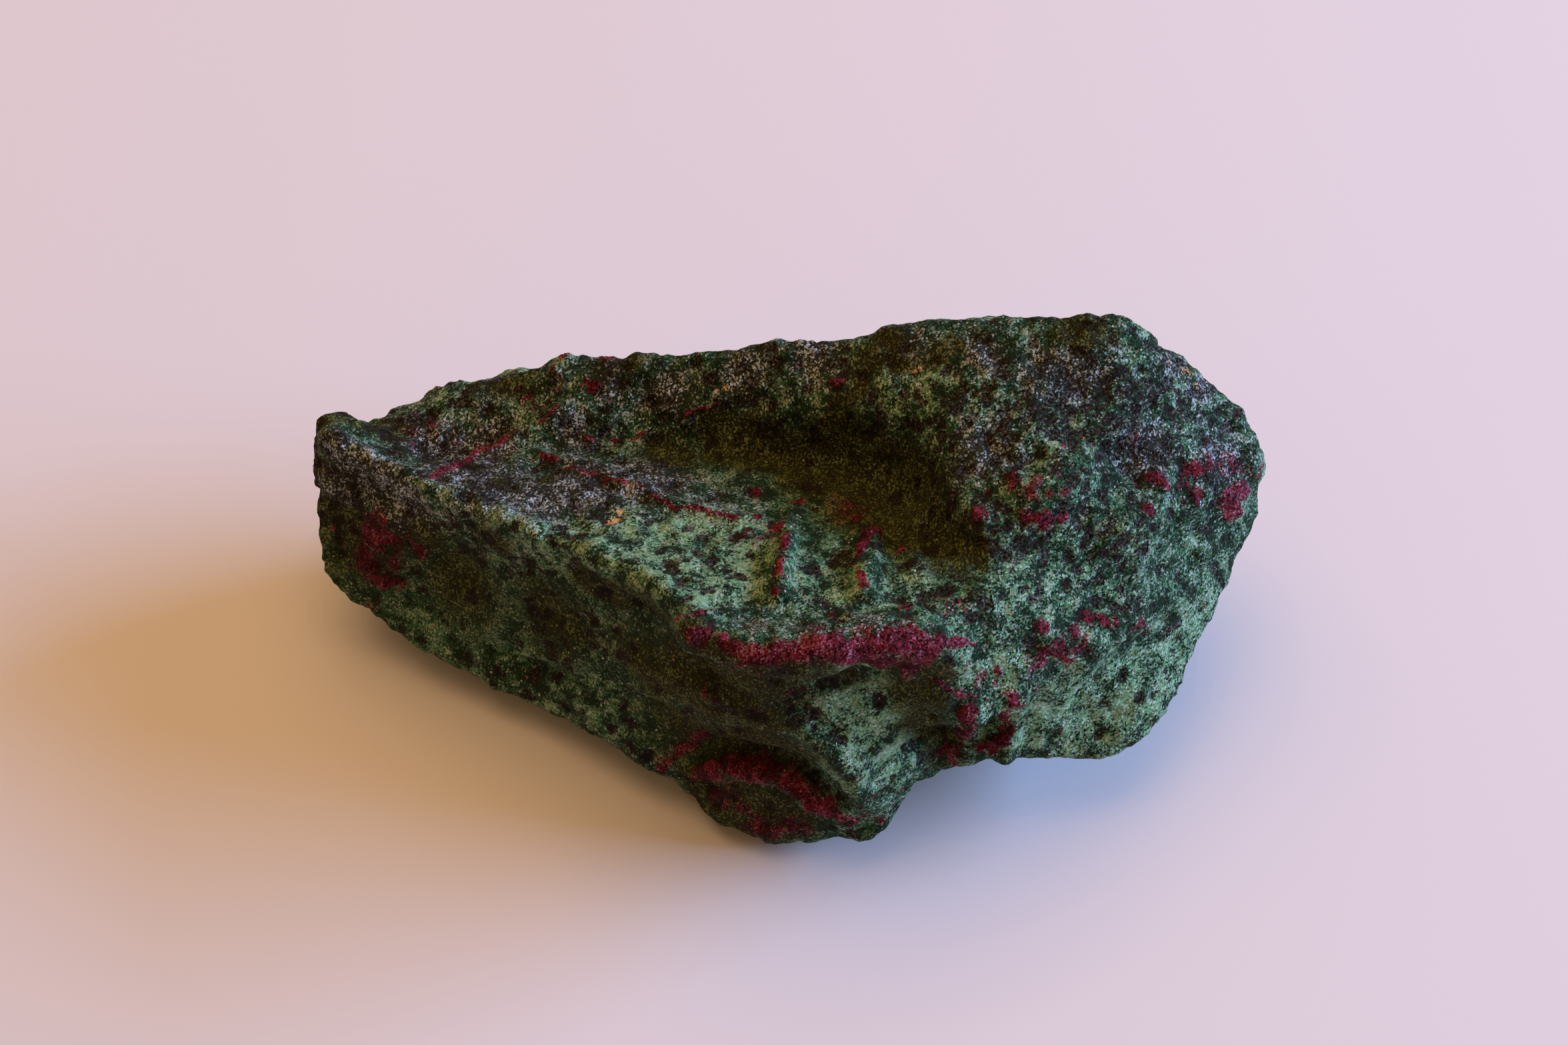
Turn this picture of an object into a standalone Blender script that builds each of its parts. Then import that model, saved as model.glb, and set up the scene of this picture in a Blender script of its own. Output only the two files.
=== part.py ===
"""A rough hand specimen of ruby in zoisite: one stone, one solid.

The stone is a worn polyhedron. Its corners are given in millimetres along the edges that a
hand would follow: the skyline at the back, the ridge and the ruby crest at the front, the
spine of the right-hand hump, the front knob and the flake under it. Faces are stretched
between neighbouring corners and their edges are worn round. Ribs, seams, lumps and hollows
are then raised or sunk on that surface, with a seeded roughness over all of it, and the
underside is cut flat where the stone rests.

Lengths are in millimetres until the mesh is finished. The row frame is +X along the stone,
+Y away from its front face and +Z up, with the origin under the middle of the stone.
"""

import math
from dataclasses import dataclass

import bmesh
import bpy
import numpy as np
from mathutils import Vector, noise
from mathutils.bvhtree import BVHTree

MM = 0.001

# Driving dimensions of the finished stone, in millimetres.
STONE_LENGTH = 99.0
STONE_DEPTH = 52.5
STONE_HEIGHT = 41.0
TRIANGLES = 9000  # what the finished solid is thinned out to

# Corners of the stone, edge by edge.
SKYLINE = [
    (-45, 20, 17.5), (-38, 22, 21), (-30, 20.5, 25.5), (-24, 20.5, 28), (-16, 19, 30),
    (-11, 18.5, 32), (-6, 18, 33), (-1.5, 17.5, 34), (3.5, 17, 35), (10, 17, 37), (17.5, 16.5, 39), (25, 16, 40),
    (30, 15.5, 41.5), (33.5, 15.5, 41.5), (37, 15, 37), (41.5, 14, 34), (46, 11.5, 30), (49, 9, 25),
]
RIGHT_RIM = [(48.5, 6, 21), (45, 0.5, 17), (41.5, -5, 14), (39, -11.5, 11), (37, -15, 9.5)]
FRONT_RIM = [
    (31.5, -18.5, 9), (24.5, -19, 10), (17, -18.5, 11), (12.5, -20, 10), (12, -18.5, 7), (18, -17, 8.5),
]
KNOB = [
    (10.5, -23, 9), (8, -26.5, 5.5), (6.5, -26, 13), (6, -25.5, 17.5), (3, -24.5, 20.5),
    (1.5, -22, 22.5), (3.5, -20.5, 25), (8, -20.5, 24.5), (11.5, -20.5, 19), (12.5, -20, 14),
]
FLAKE = [(4.5, -24, 4.5), (-2, -23.5, 2), (-8, -21.5, 2.5), (-12, -17.5, 4.5), (-4, -20.5, 13), (2, -23, 13)]
LOW_EDGE = [(-15, -17, 5.5), (-22, -11, 4.5), (-32, -5.5, 4.5), (-42, 0.7, 5.5), (-50, 4.5, 9.5)]
LEFT_TIP = [(-49.5, 10, 17), (-50, 12, 20), (-49.5, 15, 23), (-47, 15.5, 24.5), (-44, 15.5, 22)]
RIDGE = [
    (-47.5, 11, 26), (-40, 6.5, 26), (-34, 2, 27), (-27, -3, 28.5), (-19, -8, 30.5),
    (-13, -13.5, 32.5), (-9.5, -18.5, 32),
]
RUBY_CREST = [(-5, -21, 32), (0.5, -21, 32), (8, -19.5, 32), (13.5, -19, 29)]
LEDGE = [(18, -20, 23), (21.5, -19, 22)]
BAY = [(13, -16, 14), (15.5, -17, 13)]
SPINE = [
    (28.5, 11.5, 40), (23.5, 9.5, 38.5), (18, 8, 37.5), (14, 5, 36), (15, -1, 35),
    (17, -6, 34), (19.5, -10, 32), (17, -15.5, 31.5),
]
PLATEAU = [
    (-6, 13, 28.5), (0.5, 11, 31), (7.5, 9, 33.5), (-9, 15, 30), (0.5, 14, 32.5), (8, 13, 35), (15, 12, 37),
]
HOLLOW = [
    (-37.5, 12.5, 21.5), (-27, 12, 23), (-16.5, 13, 24), (-6, 10.5, 24.5), (3.5, 8, 25.5),
    (8.5, 5.5, 26.5), (11.5, 2, 27), (11.5, -2.5, 27.5), (0.5, -1, 27.5), (-9.5, 1, 27.5), (-19.5, 3, 27),
    (-2.5, -10.5, 31), (7, -10.5, 31),
]
SLAB = [
    (34, 7, 37), (41, 6.5, 32), (46.5, 5.5, 26), (27, -1, 36), (34, -4.5, 30), (43, 0, 21),
    (23.5, -9.5, 31), (30.5, -12.5, 24), (38, -6.5, 18), (27.5, -16.5, 18), (34.5, -14, 14.5),
]
FRONT_FACE = [
    (-44, 7.5, 17), (-39.5, 2.5, 14), (-32.5, -0.5, 18), (-28.5, -4.5, 13), (-21, -8, 18),
    (-15.5, -12.5, 14), (-12.5, -13.5, 24), (-8.5, -20, 22), (-2.5, -21.5, 24),
]
BACK_BELLY = [
    (-47, 19, 12), (-38, 24, 13), (-26, 25, 15), (-13, 26, 17), (0, 24, 19),
    (12, 25.5, 21), (24, 24, 22), (34, 22, 21), (43, 17, 17),
]
BACK_FOOT = [(-41, 17, 3), (-28, 20, 1), (-12, 20, 0), (4, 19, 0), (18, 18, 2), (30, 14, 4), (39, 11, 8)]
UNDERSIDE = [
    (-36, 5, 0), (-24, -4, -1), (-12, -12, -1), (-2, -18, 0), (6, -20, 1), (14, -12, 4),
    (24, -12, 6), (33, -9, 7), (40, -1, 9), (24, 2, 2), (10, 4, -2), (-8, 4, -2), (-24, 8, -2),
]
EDGES = [
    SKYLINE, RIGHT_RIM, FRONT_RIM, KNOB, FLAKE, LOW_EDGE, LEFT_TIP, RIDGE, RUBY_CREST, LEDGE, BAY,
    SPINE, PLATEAU, HOLLOW, SLAB, FRONT_FACE, BACK_BELLY, BACK_FOOT, UNDERSIDE,
]
# The line inside the stone from which every corner of a cross-section can be seen.
PITH = [(-52, 13, 18), (-20, 10, 12), (0, 9, 8), (12, 6, 10), (20, 4, 13), (52, 5, 22)]

FACE_SPLITS = 3  # how often each face is split in 4
WEAR_PASSES = 3
GRID_MM = 0.9  # the even spacing at which the surface is worked


@dataclass(frozen=True)
class Seam:
    """Something long on the surface: a rib, a ruby seam or an edge if it stands up, a groove if it sinks."""

    path: list
    half_width: float
    height: float


@dataclass(frozen=True)
class Lumps:
    """Round knots, or pits where the height is below 0."""

    places: list
    radius: float
    height: float


RIDGE_EDGE = Seam(
    [(-47.5, 11.5, 26), (-40.5, 7, 26), (-34, 2, 27), (-22.5, -5, 29.5), (-13, -13, 32), (-9.5, -18, 32)], 1.6, 0.8
)
KNOB_EDGE = Seam([(1.5, -20.5, 24), (1.5, -23, 22), (3, -24.5, 20), (6, -25, 17), (6.5, -26, 13)], 1.5, 0.9)
RUBY_LEDGE = Seam(
    [(-9, -18.5, 32), (-5, -20, 31.5), (0.5, -20.5, 31), (6, -19, 31.5), (12, -18, 31.5), (15, -18.5, 29)], 2.2, 1.9
)
UNDER_LEDGE = Seam([(-8, -18.5, 27.5), (-2.5, -20.5, 28), (2, -20.5, 27.5), (7, -20, 27.5), (12, -19.5, 26)], 1.3, -0.9)
PALE_LEDGE = Seam([(10.5, -18.5, 27), (13, -19, 25), (15.5, -19.5, 23.5), (19, -19.5, 22)], 1.3, 1.4)
BAY_FLOOR = Seam([(12.5, -20, 21), (13.5, -19.5, 17), (14.5, -18, 13)], 2.4, -1.7)
BAY_RIBS = [
    Seam([(17, -20, 22), (17.5, -18, 16), (17.5, -18.5, 11.5)], 1.1, 1.5),
    Seam([(21.5, -18.5, 22), (22, -17.5, 16), (21, -18.5, 11.5)], 1.2, 1.5),
]
SHOULDER_RIBS = [
    Seam([(0, 0.5, 27.5), (-0.5, -3.5, 28.5), (-1.5, -9, 30.5), (-1.5, -13.5, 31.5)], 1.2, 1.0),
    Seam([(7.5, -1.5, 29), (7.5, -3, 28.5), (7, -7.5, 30), (6.5, -13.5, 31.5)], 1.2, 1.1),
    Seam([(11.5, -3, 29), (11.5, -7, 31), (12, -10, 31.5)], 1.1, 0.8),
]
VEINS = [
    Seam([(-37, 6.5, 26), (-34, 11, 22.5), (-28.5, 13.5, 23.5), (-23.5, 15.5, 25.5)], 1.0, 0.5),
    Seam([(-26.5, 10.5, 23.5), (-20, 7, 25), (-13, 1.5, 27), (-4, -1.5, 28)], 0.9, 0.7),
    Seam([(-12.5, 14, 27), (-7.5, 14, 29), (-2, 13.5, 31), (5.5, 13, 33.5)], 1.0, 0.5),
]
FLAKE_EDGE = Seam([(-11, -18, 7.5), (-7.5, -19, 11), (-2, -21, 13), (2, -22, 11.5), (4.5, -23, 9.5)], 1.2, 1.1)
FLAKE_GROOVE = Seam([(-10, -17.5, 10.5), (-6, -19.5, 14), (-1, -21.5, 16.5), (2.5, -22.5, 14.5), (5, -24, 12)], 1.3, -1.1)
FACE_CRACK = Seam([(-31, -4, 9.5), (-27.5, -6, 10.5), (-24, -8, 12)], 1.0, -0.9)
BACK_LEDGE = Seam([(-34, 24, 16), (-22, 24, 21), (-10, 23, 24), (4, 23, 23)], 1.8, 1.3)
BACK_GROOVE = Seam([(-16, 25, 13), (2, 25, 17), (18, 25, 24), (28, 22, 30)], 2.2, -1.3)
SEAMS = [
    RIDGE_EDGE, KNOB_EDGE, RUBY_LEDGE, UNDER_LEDGE, PALE_LEDGE, BAY_FLOOR, *BAY_RIBS, *SHOULDER_RIBS, *VEINS,
    FLAKE_EDGE, FLAKE_GROOVE, FACE_CRACK, BACK_LEDGE, BACK_GROOVE,
]
HUMP_KNOTS = Lumps([(17.5, -5.5, 34), (21.5, -2, 35.5), (23, -4.5, 34), (26.5, -2.5, 34.5)], 1.9, 0.9)
RIGHT_KNOTS = Lumps([(36.5, 1, 31.5), (41, 3.5, 29.5), (41, 1, 28), (45.5, 3.5, 23), (46.5, 7, 27)], 1.7, 0.8)
LOW_KNOTS = Lumps([(25, -14.5, 25.5), (29, -14, 23.5), (32.5, -10.5, 23), (22, -17, 24.5)], 2.2, 1.0)
TIP_KNOTS = Lumps([(-43, 6.5, 17), (-41, 4.5, 15), (-43.5, 4.5, 12)], 2.2, 0.9)
SKYLINE_KNOTS = Lumps([(-36, 22, 23), (-24, 20.5, 29), (-16, 19, 31), (10, 17, 37), (40, 14, 36), (46, 11, 30)], 1.6, 0.6)
FACE_PITS = Lumps([(-34, 0, 17.5), (-26, -4.5, 17), (-38.5, 1.5, 11), (-19, -9.5, 14)], 3.4, -1.0)
SLAB_PITS = Lumps([(33, 1, 33), (29, -7, 30), (38, -3, 24), (30, -15, 15)], 3.6, -0.8)
BACK_KNOTS = Lumps([(-30, 24, 18), (-8, 25, 20), (14, 25, 23), (30, 22, 26), (36, 20, 14)], 3.0, 1.3)
KNOTS = [
    HUMP_KNOTS, RIGHT_KNOTS, LOW_KNOTS, TIP_KNOTS, SKYLINE_KNOTS, FACE_PITS, SLAB_PITS, BACK_KNOTS,
]

# Roughness of the broken surface: (size of its bumps, height).
ROUGHNESS = [(14.0, 0.7), (6.0, 0.45), (3.0, 0.2)]
ROUGHNESS_PLACE = Vector((37.0, 11.0, 5.0))  # where the noise is read, which picks this stone's own bumps

STONE_COLOR = (0.075, 0.125, 0.090, 1.0)
STONE_FINISH = 0.72


def clear_scene():
    """Removes the objects that a new file starts with."""
    for obj in list(bpy.data.objects):
        bpy.data.objects.remove(obj)


def on_ball(corner):
    """Where a corner goes when the stone is blown up into a ball of radius 1 round its pith."""
    xs, ys, zs = zip(*PITH)
    y = corner.y - np.interp(corner.x, xs, ys)
    z = corner.z - np.interp(corner.x, xs, zs)
    along = corner.x / xs[-1]
    ring = math.sqrt(1 - along**2) / math.hypot(y, z)
    return Vector((along, y * ring, z * ring))


def stretched_skin(corners):
    """A closed mesh of triangles that joins each corner to its neighbours round the pith."""
    bm = bmesh.new()
    place_of = {}
    for corner in corners:
        place_of[bm.verts.new(on_ball(corner))] = corner
    bmesh.ops.convex_hull(bm, input=list(bm.verts))
    for vert, corner in place_of.items():
        vert.co = corner
    bmesh.ops.recalc_face_normals(bm, faces=bm.faces)
    return bm


def wear_edges(bm):
    """Splits the faces and rounds the edges between them."""
    for _ in range(FACE_SPLITS):
        bmesh.ops.subdivide_edges(bm, edges=bm.edges, cuts=1, use_grid_fill=True)
    bmesh.ops.triangulate(bm, faces=bm.faces)
    for _ in range(WEAR_PASSES):
        bmesh.ops.smooth_vert(
            bm, verts=bm.verts, factor=0.5, use_axis_x=True, use_axis_y=True, use_axis_z=True
        )


def with_modifier(mesh, kind, **settings):
    """The mesh that one modifier makes of this one."""
    helper = bpy.data.objects.new("helper", mesh)
    bpy.context.scene.collection.objects.link(helper)
    modifier = helper.modifiers.new(kind, kind)
    for name, value in settings.items():
        setattr(modifier, name, value)
    graph = bpy.context.evaluated_depsgraph_get()
    made = bpy.data.meshes.new_from_object(helper.evaluated_get(graph))
    bpy.data.objects.remove(helper)
    return made


def nearness(points, path, half_width):
    """How near each point is to a path: 1 on it, falling to nothing over its half width."""
    nearest = np.full(len(points), np.inf)
    for start, end in zip(path, path[1:]):
        run = end - start
        along = np.clip((points - start) @ run / max(run @ run, 1e-9), 0, 1)
        gap = np.linalg.norm(points - (start + along[:, None] * run), axis=1)
        nearest = np.minimum(nearest, gap)
    return np.exp(-((nearest / half_width) ** 2))


def work_surface(mesh):
    """Raises and sinks everything named above, and roughens the whole surface."""
    bm = bmesh.new()
    bm.from_mesh(mesh)
    tree = BVHTree.FromBMesh(bm)
    points = np.array([vert.co for vert in bm.verts])
    lift = np.zeros(len(points))

    def laid(place):
        return np.array(tree.find_nearest(Vector(place))[0])

    for seam in SEAMS:
        path = [laid(place) for place in seam.path]
        lift += seam.height * nearness(points, path, seam.half_width)
    for knot in KNOTS:
        for place in knot.places:
            gap = np.linalg.norm(points - laid(place), axis=1)
            lift += knot.height * np.exp(-((gap / knot.radius) ** 2))
    for vert, height in zip(bm.verts, lift):
        for size, depth in ROUGHNESS:
            height += depth * noise.noise(vert.co / size + ROUGHNESS_PLACE)
        vert.co = vert.co + vert.normal * height
    bm.to_mesh(mesh)
    bm.free()


def cut_rest_face(bm):
    """Cuts off what hangs below the resting plane and closes the cut with one flat face."""
    for vert in bm.verts:
        if abs(vert.co.z) < 0.2:
            vert.co.z = 0
    everything = list(bm.verts) + list(bm.edges) + list(bm.faces)
    bmesh.ops.bisect_plane(
        bm, geom=everything, dist=0.001, plane_co=(0, 0, 0), plane_no=(0, 0, 1), clear_inner=True
    )
    rim = [edge for edge in bm.edges if edge.is_boundary]
    bmesh.ops.edgeloop_fill(bm, edges=rim)
    bmesh.ops.triangulate(bm, faces=bm.faces)
    bmesh.ops.recalc_face_normals(bm, faces=bm.faces)


def bring_to_size(bm):
    """Gives the stone its finished size, with the origin on the resting face under its middle."""
    points = np.array([vert.co for vert in bm.verts])
    low, high = points.min(axis=0), points.max(axis=0)
    foot = np.array([(low[0] + high[0]) / 2, (low[1] + high[1]) / 2, low[2]])
    growth = np.array([STONE_LENGTH, STONE_DEPTH, STONE_HEIGHT]) / (high - low)
    for vert, point in zip(bm.verts, points):
        vert.co = (point - foot) * growth * MM


def stone_material():
    """Grey-green zoisite, the average of its pale grains, its black hornblende and its ruby."""
    material = bpy.data.materials.new("ruby_in_zoisite")
    material.use_nodes = True
    shader = material.node_tree.nodes["Principled BSDF"]
    shader.inputs["Base Color"].default_value = STONE_COLOR
    shader.inputs["Roughness"].default_value = STONE_FINISH
    shader.inputs["Metallic"].default_value = 0.0
    return material


def main():
    clear_scene()
    bm = stretched_skin([Vector(corner) for edge in EDGES for corner in edge])
    wear_edges(bm)
    skin = bpy.data.meshes.new("skin")
    bm.to_mesh(skin)
    bm.free()
    even = with_modifier(skin, "REMESH", mode="VOXEL", voxel_size=GRID_MM)
    work_surface(even)
    faceted = with_modifier(even, "TRIANGULATE")
    thin = with_modifier(faceted, "DECIMATE", ratio=TRIANGLES / len(faceted.polygons))
    bm = bmesh.new()
    bm.from_mesh(thin)
    cut_rest_face(bm)
    bring_to_size(bm)
    mesh = bpy.data.meshes.new("stone")
    bm.to_mesh(mesh)
    bm.free()
    mesh.materials.append(stone_material())
    stone = bpy.data.objects.new("stone", mesh)
    bpy.context.scene.collection.objects.link(stone)


main()
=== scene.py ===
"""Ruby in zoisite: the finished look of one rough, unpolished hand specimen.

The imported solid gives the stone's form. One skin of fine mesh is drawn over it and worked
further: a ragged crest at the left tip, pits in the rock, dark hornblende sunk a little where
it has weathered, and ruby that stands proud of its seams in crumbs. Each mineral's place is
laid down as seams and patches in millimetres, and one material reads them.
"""

import logging
import math
from dataclasses import dataclass
from enum import Enum

import bmesh
import bpy
import numpy as np
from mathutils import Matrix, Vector, noise

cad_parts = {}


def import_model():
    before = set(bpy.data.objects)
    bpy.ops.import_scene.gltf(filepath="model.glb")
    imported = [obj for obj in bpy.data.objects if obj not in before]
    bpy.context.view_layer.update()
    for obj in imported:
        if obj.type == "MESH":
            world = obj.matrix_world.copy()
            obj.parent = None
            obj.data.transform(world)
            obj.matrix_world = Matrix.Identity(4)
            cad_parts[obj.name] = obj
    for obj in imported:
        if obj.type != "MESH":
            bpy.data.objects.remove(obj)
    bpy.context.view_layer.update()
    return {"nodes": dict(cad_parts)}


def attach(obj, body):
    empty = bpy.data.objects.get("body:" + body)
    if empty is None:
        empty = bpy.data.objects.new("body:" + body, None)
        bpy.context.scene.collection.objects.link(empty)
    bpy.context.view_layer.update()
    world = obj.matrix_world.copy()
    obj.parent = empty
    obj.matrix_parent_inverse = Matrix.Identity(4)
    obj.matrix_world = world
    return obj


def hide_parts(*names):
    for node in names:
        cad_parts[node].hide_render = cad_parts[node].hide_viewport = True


MM = 0.001
FRAME_WIDTH = 2352  # of the finished picture, in pixels
# The vector noise has random offsets, which differ from run to run unless seeded.
NOISE_SEED = 7

# Settings that many of the shader's nodes share.
EASED = {"interpolation_type": "SMOOTHSTEP"}
MIXED = {"data_type": "RGBA"}
SCALED_SUM = {"operation": "MULTIPLY_ADD"}  # input 0 times input 1, plus input 2

log = logging.getLogger("ruby_in_zoisite")

Place = tuple[float, float, float]
Span = tuple[float, float]
# What a shader's socket takes: a node, one of its outputs, or a plain colour.
Source = bpy.types.Node | bpy.types.NodeSocket | tuple[float, float, float, float]


class Mineral(Enum):
    """What a spot of the stone is made of; each value names the skin's attribute for it."""

    RUBY = "ruby"
    HORNBLENDE = "hornblende"
    SUGARY = "sugary"
    # brown weathering, and the same brown laid as painted shade on faces in shadow
    STAIN_AND_SHADE = "stain_and_shade"
    DUST = "dust"
    MICA = "mica"


@dataclass(frozen=True)
class Seam:
    """A thread of one mineral along the surface, in millimetres."""

    half_width: float
    path: tuple[Place, ...]
    strength: float = 1.0


@dataclass(frozen=True)
class Patch:
    """Spots of one mineral, all of one size, in millimetres."""

    radius: float
    places: tuple[Place, ...]
    strength: float = 1.0


@dataclass(frozen=True)
class Fold:
    """A small crest or, with a height below zero, a small groove or dent, in millimetres."""

    height: float
    radius: float
    path: tuple[Place, ...]
    apart: bool = False  # each place is a knob or dent of its own


SEAMS: dict[Mineral, tuple[Seam, ...]] = {
    Mineral.RUBY: (
        # the band along the front crest, thick and crumbly at its right end
        Seam(1.0, ((-8.5, -20, 33.5), (-5, -21.5, 33), (-2.5, -22, 33), (0, -22, 33.5),
            (4.5, -21.5, 33.5))),
        Seam(1.5, ((3, -21.5, 33.5), (8.5, -21.3, 32.8), (11, -20.5, 32.5), (13, -19.8, 32.3))),
        Seam(1.1, ((7.5, -21, 32), (9.5, -21, 30.5), (12, -20.5, 29), (14, -20, 31.5))),
        Seam(0.7, ((13.5, -19.5, 32), (16, -19, 31), (18.5, -17.5, 29)), 0.85),
        Seam(0.5, ((-1, -21, 33.5), (2, -21, 33.8), (5, -20.5, 33.8)), 0.8),
        # short ribs that run down the trough to the crest
        Seam(0.4, ((0.5, -5, 30), (0, -7.5, 31), (-0.5, -11, 32), (-1, -14, 32))),
        Seam(0.45, ((7.8, -6, 30), (7.5, -9, 31), (7.5, -11.5, 32), (7.5, -13.5, 32.5))),
        Seam(0.8, ((7.5, -6.5, 30), (8, -5, 30), (9, -4, 29))),
        Seam(0.5, ((-3.5, 3.5, 27), (-3, 0.5, 27.5), (-3, -3, 29)), 0.75),
        # thin veins over the left half and the plateau
        Seam(0.38, ((-36, 5, 27), (-33.5, 8.5, 24.5), (-32, 12, 22.5), (-29.5, 12.5, 23),
            (-27.5, 13, 24)), 1.25),
        Seam(0.3, ((-25.5, 13.5, 25), (-23.5, 14.5, 26)), 0.95),
        Seam(0.3, ((-25.5, 9.5, 24.5), (-23, 7, 25.5), (-20.5, 5.5, 26.5), (-18, 4.5, 26.5),
            (-15, 3.5, 27.5), (-12.5, 1, 28), (-11, 0, 28)), 1.25),
        Seam(0.35, ((-11, 0, 28), (-7.5, -1, 28.5), (-4, -2, 29)), 1.05),
        Seam(0.25, ((-23.5, 12.5, 24.5), (-21, 12, 24), (-18, 12, 24), (-14.5, 12.5, 24.5)), 0.98),
        Seam(0.25, ((-11, 13, 27), (-9, 13, 28), (-6, 12.5, 29), (-3.5, 12.5, 30), (0, 12, 31.5),
            (4, 12, 33), (5.5, 11.5, 33.5)), 0.95),
        Seam(0.5, ((4, 12, 33), (5.5, 11.5, 33.5))),
        Seam(0.35, ((-10.5, -18, 33), (-9, -18, 34), (-6.5, -16, 32)), 0.9),
        # the ribs of the front bay and the thread along its top
        Seam(0.45, ((14.5, -20.5, 27), (16.5, -21, 25.5), (18.5, -21, 24.5),
            (20.5, -21, 23)), 0.85),
        Seam(0.8, ((22.5, -20, 23), (22, -19, 19.5), (22, -18.5, 15), (21, -18.5, 13),
            (19.5, -18.5, 13))),
        Seam(0.7, ((17.5, -22, 23.5), (18, -22, 22), (18.3, -20, 17.5), (18, -18.5, 13),
            (17.5, -18.5, 10.5))),
        Seam(0.3, ((-1, -21.5, 25.5), (1, -21, 26), (2.5, -21, 26)), 0.85),
        # the rim of the flake, the streak above it and the crack across the knob
        Seam(1.0, ((-9, -19, 7.5), (-5.5, -20.5, 12.5), (-2, -22, 13.5), (0, -23, 13.5),
            (2, -23.5, 12), (4, -24.5, 10.5), (6, -25, 9))),
        Seam(0.8, ((-13, -16.5, 6), (-12, -16.5, 7.5), (-10, -16.5, 10), (-8, -17.5, 13.5)), 0.9),
        Seam(0.2, ((6, -25.5, 15), (8, -26, 14.5), (11, -23.5, 11.5), (13, -21.5, 11.5)), 0.85),
        # the back and the underside
        Seam(0.4, ((-40, 21, 20), (-33, 22.5, 19), (-24, 24, 21), (-15, 25, 24), (-6, 26, 24),
            (12, 25, 22), (30, 21, 26)), 0.9),
        Seam(0.3, ((-22, 18, 6), (-12, 21, 9), (-2, 22, 9), (16, 20, 13), (34, 14, 10)), 0.95),
        Seam(0.8, ((-34, -2, 2), (-14, 6, 0), (10, 7, 0), (28, -4, 5))),
    ),
    Mineral.SUGARY: (
        # the chipped ledge low on the left face
        Seam(0.4, ((-28.5, -5, 9), (-27, -5.5, 10.5), (-26, -6, 11), (-24.5, -7, 11.5),
            (-22.5, -8.5, 13))),
    ),
    Mineral.HORNBLENDE: (
        # the crack over the flake, drawn near-black: painted shade in the crack
        Seam(0.5, ((-9, -18.3, 10), (-7, -19.3, 12), (-4, -20.5, 14), (-0.5, -22, 14.8),
            (2.5, -23, 13.5), (5, -24.2, 11)), 1.6),
    ),
}

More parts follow.
